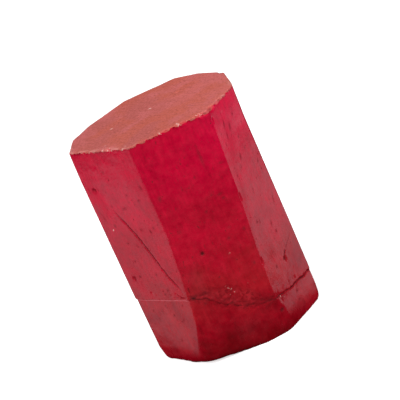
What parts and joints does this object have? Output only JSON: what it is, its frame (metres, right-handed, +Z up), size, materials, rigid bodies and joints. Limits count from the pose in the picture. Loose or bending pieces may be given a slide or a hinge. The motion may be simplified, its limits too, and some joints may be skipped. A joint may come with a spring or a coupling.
{
  "type": "raw ruby crystal",
  "caption": "Rough opaque ruby crystal: an upright hexagonal prism with a flat upper end, worn edges and a stepped fracture round its lower third, standing on its broken base.",
  "frame": {"origin": "centre of the crystal's box at the base it stands on", "axes": "+Z up along the crystal's long axis, -Y out of its widest prism face, the front"},
  "size_m": [0.028, 0.0252, 0.0392],
  "materials": {
    "ruby": "satin"
  },
  "bodies": {
    "root": {"ruby_crystal": "ruby"}
  },
  "joints": []
}
